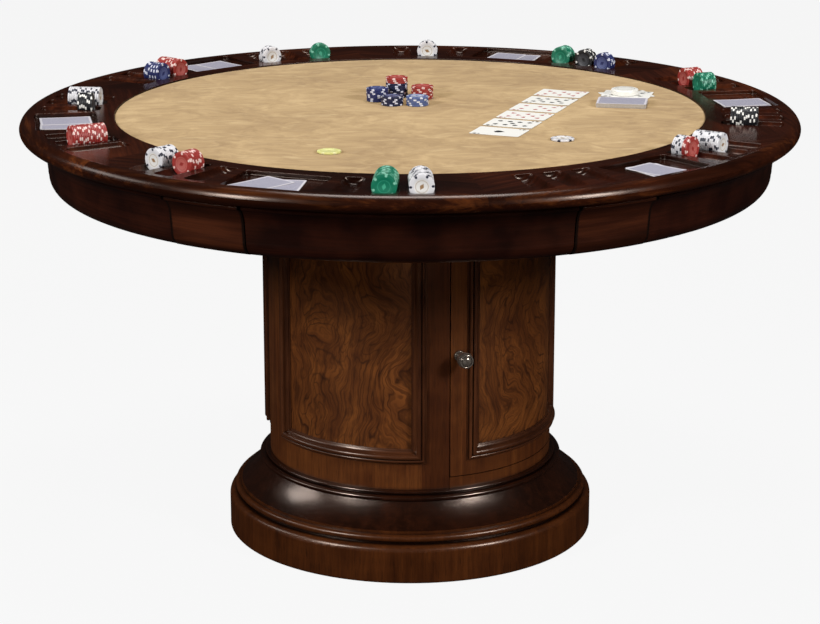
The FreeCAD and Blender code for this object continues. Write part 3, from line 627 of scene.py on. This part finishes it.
def pot_chips(rng):
    for index, (points, plan) in enumerate(zip(islands("pot_chips"), POT_COLOURS)):
        low, high = points.min(0), points.max(0)
        start = Vector(((low[0] + high[0]) / 2, (low[1] + high[1]) / 2, low[2]))
        count = round((high[2] - low[2]) / (CHIP_THICKNESS * MM))
        chip_pile(f"pot_stack_{index + 1}", start, Vector((0, 0, 1)), count, plan, "pot", rng, 0.5,
                  ("pot_chips",) if index == 0 else ())


# ---------------------------------------------------------------- cards

def card_axis(half, corner, fine=3, coarse=8):
    outer = [half - corner + corner * i / fine for i in range(fine + 1)]
    inner = [(-1 + 2 * i / coarse) * (half - corner) for i in range(1, coarse)]
    return [-v for v in reversed(outer)] + inner + outer


def card_sheet(thickness, bow=0.0):
    """Rounded sheet as (vertices, faces, face kinds): kind 0 top, 1 bottom, 2 edge."""
    xs, ys = card_axis(CARD_LENGTH / 2, CARD_CORNER), card_axis(CARD_WIDTH / 2, CARD_CORNER)
    nx, ny = len(xs), len(ys)
    corner_x, corner_y = CARD_LENGTH / 2 - CARD_CORNER, CARD_WIDTH / 2 - CARD_CORNER
    flat = []
    for x in xs:
        for y in ys:
            u, v = (abs(x) - corner_x) / CARD_CORNER, (abs(y) - corner_y) / CARD_CORNER
            px, py = x, y
            if u > 0 and v > 0:
                px = math.copysign(corner_x + CARD_CORNER * u * math.sqrt(1 - v * v / 2), x)
                py = math.copysign(corner_y + CARD_CORNER * v * math.sqrt(1 - u * u / 2), y)
            flat.append((px, py, bow * (2 * px / CARD_LENGTH) ** 2))
    top = [(x, y, z + thickness) for x, y, z in flat]
    count = len(flat)
    faces, kinds = [], []
    for i in range(nx - 1):
        for j in range(ny - 1):
            a, b, c, d = i * ny + j, (i + 1) * ny + j, (i + 1) * ny + j + 1, i * ny + j + 1
            faces += [(count + a, count + b, count + c, count + d), (d, c, b, a)]
            kinds += [0, 1]
    ring = [i * ny for i in range(nx)] + [(nx - 1) * ny + j for j in range(1, ny)]
    ring += [i * ny + ny - 1 for i in range(nx - 2, -1, -1)] + [j for j in range(ny - 2, 0, -1)]
    for a, b in zip(ring, ring[1:] + ring[:1]):
        faces.append((a, b, count + b, count + a))
        kinds.append(2)
    return np.array(flat + top, float), faces, kinds


def suit_outline(suit):
    """Corner points of a suit mark about 10 mm high, pointing along +X."""
    steps = 6

    def arc(cx, cy, radius, start, end):
        angles = [math.radians(start + (end - start) * i / steps) for i in range(steps + 1)]
        return [(cx + radius * math.cos(a), cy + radius * math.sin(a)) for a in angles]

    foot = [(-5.0, 1.5), (-5.0, -1.5)]
    if suit == "diamond":
        return [(5.4, 0), (0, 3.9), (-5.4, 0), (0, -3.9)]
    if suit == "heart":
        return [(-5.2, 0), (1.4, -4.3), *arc(2.0, -2.2, 2.2, -90, 60), *arc(2.0, 2.2, 2.2, -60, 90), (1.4, 4.3)]
    if suit == "spade":
        return [(5.4, 0), (-0.6, 4.2), *arc(-1.8, 2.1, 2.1, 60, 230), *foot, *arc(-1.8, -2.1, 2.1, 130, 300),
                (-0.6, -4.2)]
    return [*arc(2.6, 0, 2.3, -70, 70), *arc(-1.2, 2.5, 2.3, 60, 250), *foot, *arc(-1.2, -2.5, 2.3, 110, 300)]


def row_marks(rank):
    """Places of the marks on a card's face, in card millimetres (along, across)."""
    if rank == 1:
        return [(0, 0)]
    rows = (-26, 0, 26) if rank < 9 else (-27, -9, 9, 27)
    middle = {7: [(13, 0)], 8: [(13, 0), (-13, 0)], 9: [(0, 0)], 10: [(18, 0), (-18, 0)]}[rank]
    return [(x, y) for x in rows for y in (-14, 14)] + middle


def add_mark(verts, faces, outline, centre, scale, top):
    """Thin printed mark as a closed slab on a card's face. Returns how many faces it added."""
    depth = 0.05
    first = len(verts)
    side = 1 if centre[0] >= 0 else -1
    for z in (top, top + depth):
        verts.extend([(centre[0] + side * scale * x, centre[1] + side * scale * y, z) for x, y in outline])
    n = len(outline)
    faces.append(tuple(range(first + n, first + 2 * n)))
    faces.append(tuple(range(first + n - 1, first - 1, -1)))
    faces.extend([(first + i, first + (i + 1) % n, first + n + (i + 1) % n, first + n + i) for i in range(n)])
    return n + 2


def card_frame(points):
    """Place of a CAD card: matrix with X along its length, origin at the middle of its underside."""
    low, high = points.min(0), points.max(0)
    flat = points[:, :2] - points[:, :2].mean(0)
    _, axes = np.linalg.eigh(flat.T @ flat)
    along = Vector((*axes[:, 1], 0)).normalized()
    if along.x < 0:
        along = -along
    across = Vector((0, 0, 1)).cross(along)
    matrix = Matrix((along, across, (0, 0, 1))).transposed().to_4x4()
    matrix.translation = (*points[:, :2].mean(0), low[2])
    return matrix, (high[2] - low[2]) / MM


CORNER_MARKS = ((36, 0.75), (28.5, 0.5))


def put_card(name, points, top, suit=None, rank=0, bow=0.0, node=()):
    """One card with printed marks; top is the finish that shows."""
    matrix, thickness = card_frame(points)
    thickness = min(thickness, CARD_THICKNESS)
    verts, faces, kinds = card_sheet(thickness, bow)
    verts = [tuple(v) for v in verts]
    if rank:
        marks = [(spot, 1.9 if rank == 1 else 1.0) for spot in row_marks(rank)]
        marks += [((side * along, side * 27.0), size) for side in (1, -1) for along, size in CORNER_MARKS]
        for spot, size in marks:
            level = thickness + bow * (2 * spot[0] / CARD_LENGTH) ** 2
            kinds += [3] * add_mark(verts, faces, suit_outline(suit), spot, size, level)
    places = [(x, y, 0) for x, y, _ in verts]
    world = [matrix @ (Vector(v) * MM) for v in verts]
    ink = MARK_RED if suit in ("heart", "diamond") else MARK_BLACK
    bottom = CARD_FACE if top is CARD_BACK else CARD_BACK
    piece(name, world, faces, [top, bottom, CARD_EDGE, ink], "cards", node, kinds,
          ("card_place", places), 30)


ROW_FACES = ((1, "spade"), (9, "club"), (8, "heart"), (7, "diamond"), (10, "spade"), (8, "heart"))


def table_cards(rng):
    """Tray cards face down, the row face up, and the turned-up cards that lie under the dealer disc."""
    for index, points in enumerate(islands("tray_cards")):
        put_card(f"tray_card_{index + 1}", points, CARD_BACK, bow=rng.uniform(0.3, 0.8),
                 node=("tray_cards",) if index == 0 else ())
    low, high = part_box("dealer_disc")
    disc_centre = (low + high) / 2
    row, covered = [], []
    for points in islands("row_cards"):
        near = (Vector(points.mean(0)) - disc_centre).length < 0.03
        (covered if near else row).append(points)
    row.sort(key=lambda points: points[:, 1].mean())
    for index, (points, (rank, suit)) in enumerate(zip(row, ROW_FACES)):
        put_card(f"row_card_{index + 1}", points, CARD_FACE, suit, rank, bow=rng.uniform(0.1, 0.4),
                 node=("row_cards",) if index == 0 else ())
    for index, points in enumerate(covered):
        put_card(f"covered_card_{index + 1}", points, CARD_FACE, "spade", 7)


def card_deck(rng):
    """Stack of thin sheets, each a little out of line."""
    points = islands("card_deck")[0]
    matrix, height = card_frame(points)
    count = 24
    sheet, sheet_faces, sheet_kinds = card_sheet(height / count * 0.96)
    verts, faces, kinds, places = [], [], [], []
    for index in range(count):
        shift = np.array((rng.uniform(-0.35, 0.35), rng.uniform(-0.35, 0.35), index * height / count))
        first = len(verts)
        verts.extend([tuple(v) for v in sheet + shift])
        places.extend([(x, y, 0) for x, y, _ in sheet])
        faces += [tuple(first + v for v in face) for face in sheet_faces]
        kinds += sheet_kinds
    world = [matrix @ (Vector(v) * MM) for v in verts]
    piece("deck", world, faces, [CARD_BACK, CARD_FACE, CARD_EDGE], "cards", ("card_deck",), kinds,
          ("card_place", places), 30)


def dealer_disc():
    """Thick disc with rounded edges and a shallow groove inside its raised border."""
    low, high = (np.array(v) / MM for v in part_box("dealer_disc"))
    radius, height = (high[0] - low[0]) / 2, high[2] - low[2]
    half = height / 2
    profile = ((0, half - 0.3), (17.6, half - 0.3), (17.8, half - 0.5), (18.2, half - 0.5), (18.4, half),
               (radius - 2.2, half), (radius - 0.7, half - 0.6), (radius, half - 2.2), (radius, 2.2 - half),
               (radius - 0.7, 0.6 - half), (radius - 2.2, -half), (0, -half))
    shape, faces = lathe(profile, 72)
    centre = (low + high) / 2
    piece("dealer_disc_turned", (shape + centre) * MM, faces, [disc_finish()], "cards",
          ("dealer_disc",), None, ("chip_place", shape), 40)


# ---------------------------------------------------------------- felt

def felt():
    """Stretched round cloth whose edge turns down against the rim."""
    low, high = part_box("felt_cloth")
    radius, top, bottom = (high.x - low.x) / 2, high.z, low.z
    flat = [(radius * i / 20, top) for i in range(20)]
    turned = [(radius - 0.0022, top), (radius - 0.0012, top - 0.0001), (radius - 0.0005, top - 0.0004),
              (radius, top - 0.0010)]
    verts, faces = lathe(flat + turned + [(radius, bottom), (0, bottom)], 128)
    cloth = piece("playing_felt", verts, faces, [felt_suede()], "table", ("felt_cloth",), smooth=60)


# ---------------------------------------------------------------- finishes on the CAD nodes

def dress(materials):
    """Gives each CAD node the finish of the first prefix that its name starts with."""
    for name, node in NODES.items():
        material = next(m for prefix, m in materials if name.startswith(prefix))
        node.data.materials.clear()
        node.data.materials.append(material)


def moulding_finish(node):
    """Wood of one panel's moulding, with the mitres where its frame turns."""
    low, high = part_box(node)
    mesh = NODES[node].data
    phis = np.array([math.degrees(math.atan2(v.co.x, -v.co.y)) for v in mesh.vertices])
    centre = math.degrees(math.atan2(np.sin(np.radians(phis)).mean(), np.cos(np.radians(phis)).mean()))
    half = max(abs(math.remainder(phi - centre, 360)) for phi in phis)
    return mitred(node + "_wood", centre, math.radians(half) * DRUM_RADIUS, low.z, high.z, **MOULDING)


dark_frame = wood("cabinet_inside", upright, srgb(40, 20, 10), srgb(66, 36, 19), srgb(90, 52, 28), GLAZE_AND_SHADE,
                  roughness=0.5, tint=AMBER)
mouldings = [(node, moulding_finish(node)) for node in sorted(NODES) if "moulding" in node]
burl = burl_wood()
board = board_wood()
brass = metal("hinge_brass", srgb(142, 108, 52), srgb(176, 142, 80), 0.32)
pewter = metal("knob_metal", srgb(128, 116, 106), srgb(170, 158, 146), 0.2, 0.75)
steel = metal("steel", srgb(150, 150, 152), srgb(190, 190, 192), 0.3)
dress([
    ("rim_segment", rim_wood()),
    ("apron_panel", apron_panel_wood()), ("apron_blocks", apron_block_wood()),
    ("door_burl", burl), ("burl_panel", burl),
    *mouldings,
    ("wide_stiles", frame_wood), ("door_posts", post_wood), ("door_stiles", frame_wood),
    ("drum_", frame_wood), ("door_rails", frame_wood),
    ("plinth_ring", base_wood), ("base_flare", flare_wood_in_painted_shade), ("base_", base_wood), ("foot_bead", flare_wood_in_painted_shade),
    ("cabinet_", dark_frame),
    ("playing_field", board), ("sub_top", board), ("top_battens", board), ("pedestal_top", board),
    ("door_knob", pewter), ("knob_rosette", pewter),
    ("hinge_", brass),
    ("knob_screw", steel), ("top_bolts", steel), ("strike_plate", steel), ("shelf_pins", steel),
    ("magnetic_catch", plastic("catch_plastic", srgb(58, 38, 26))),
    ("floor_glides", plastic("glide_plastic", srgb(40, 38, 36), 0.6)),
    ("", plastic("loose_piece", srgb(200, 198, 192))),
])

# ---------------------------------------------------------------- loose pieces

CHIP_MATERIALS = {name: chip_finish(name, *colours) for name, colours in CHIP_COLOURS.items()}
CARD_BACK = card_back()
CARD_FACE = card_paper("card_face", srgb(238, 236, 230), srgb(228, 225, 217))
CARD_EDGE = card_paper("card_edge", srgb(186, 178, 166), srgb(160, 152, 140))
MARK_RED = card_paper("mark_red", srgb(176, 34, 36), srgb(156, 26, 30))
MARK_BLACK = card_paper("mark_black", srgb(34, 34, 38), srgb(22, 22, 26))

chance = random.Random(11)
felt()
station_chips(chance)
pot_chips(chance)
table_cards(chance)
card_deck(chance)
dealer_disc()

# ---------------------------------------------------------------- studio

CAMERA_PLACE = (0, -4.319, 1.6186)
CAMERA_PITCH = 74.181
CAMERA_LENS, CAMERA_SENSOR = 108.66, 36.0
FLOOR_SIZE = 40.0
# Name, place, the point it faces, width, height, watts, and whether it shows in reflections
LIGHTS = (
    ("left", (-2.9, -2.6, 2.4), (0, 0, 0.45), 0.7, 1.0, 112, True),
    ("far_left", (-3.4, 0.1, 2.2), (0, 0, 0.3), 1.6, 0.8, 22, True),
    ("right", (2.9, -2.4, 2.4), (0, 0, 0.45), 0.7, 1.0, 120, True),
    ("front", (0.1, -4.4, 0.7), (0, 0, 0.4), 3.0, 1.2, 42, False),
    ("above", (0, 0.4, 3.2), (0, 0, 0.7), 1.4, 1.2, 52, True),
)


def soft_light(name, place, target, width, height, power, glossy):
    light = bpy.data.lights.new(name, "AREA")
    light.shape = "RECTANGLE"
    light.size, light.size_y, light.energy = width, height, power
    obj = bpy.data.objects.new(name, light)
    bpy.context.scene.collection.objects.link(obj)
    obj.location = place
    obj.rotation_euler = (Vector(target) - Vector(place)).to_track_quat("-Z", "Y").to_euler()
    obj.visible_glossy = glossy


def light_path_mix(nodes, links, seen, unseen, output):
    """Shows one shader to the camera and another to the light that reaches the object."""
    path = nodes.new("ShaderNodeLightPath")
    mix = nodes.new("ShaderNodeMixShader")
    links.new(path.outputs["Is Camera Ray"], mix.inputs[0])
    links.new(unseen, mix.inputs[1])
    links.new(seen, mix.inputs[2])
    links.new(mix.outputs[0], output)


def studio():
    world = bpy.data.worlds.new("studio")
    bpy.context.scene.world = world
    world.use_nodes = True
    nodes, links = world.node_tree.nodes, world.node_tree.links
    seen = nodes["Background"]
    seen.inputs["Color"].default_value = srgb(246, 246, 246)
    unseen = nodes.new("ShaderNodeBackground")
    unseen.inputs["Color"].default_value = (1, 1, 1, 1)
    unseen.inputs["Strength"].default_value = 0.012
    output = nodes["World Output"].inputs["Surface"]
    light_path_mix(nodes, links, seen.outputs[0], unseen.outputs[0], output)

    half = FLOOR_SIZE / 2
    mesh = bpy.data.meshes.new("floor")
    corners = [(-half, -half, 0), (half, -half, 0), (half, half, 0), (-half, half, 0)]
    mesh.from_pydata(corners, [], [(0, 1, 2, 3)])
    floor = bpy.data.objects.new("floor", mesh)
    bpy.context.scene.collection.objects.link(floor)
    f = Finish("floor", roughness=0.9, level=0.0)
    f.bsdf.inputs["Base Color"].default_value = (0.025, 0.025, 0.025, 1)
    f.bsdf.inputs["Emission Color"].default_value = (1, 1, 1, 1)
    f.bsdf.inputs["Emission Strength"].default_value = 0.912
    bounce = f.nodes.new("ShaderNodeBsdfDiffuse")
    bounce.inputs["Color"].default_value = (0.015, 0.015, 0.015, 1)
    output = f.nodes["Material Output"].inputs["Surface"]
    light_path_mix(f.nodes, f.links, f.bsdf.outputs[0], bounce.outputs[0], output)
    mesh.materials.append(f.material)

    for light in LIGHTS:
        soft_light(*light)


def camera():
    data = bpy.data.cameras.new("camera")
    data.lens, data.sensor_width = CAMERA_LENS, CAMERA_SENSOR
    obj = bpy.data.objects.new("camera", data)
    bpy.context.scene.collection.objects.link(obj)
    obj.location = CAMERA_PLACE
    obj.rotation_euler = (math.radians(CAMERA_PITCH), 0, 0)
    bpy.context.scene.camera = obj


camera()
studio()
bpy.context.scene.view_settings.view_transform = "Standard"
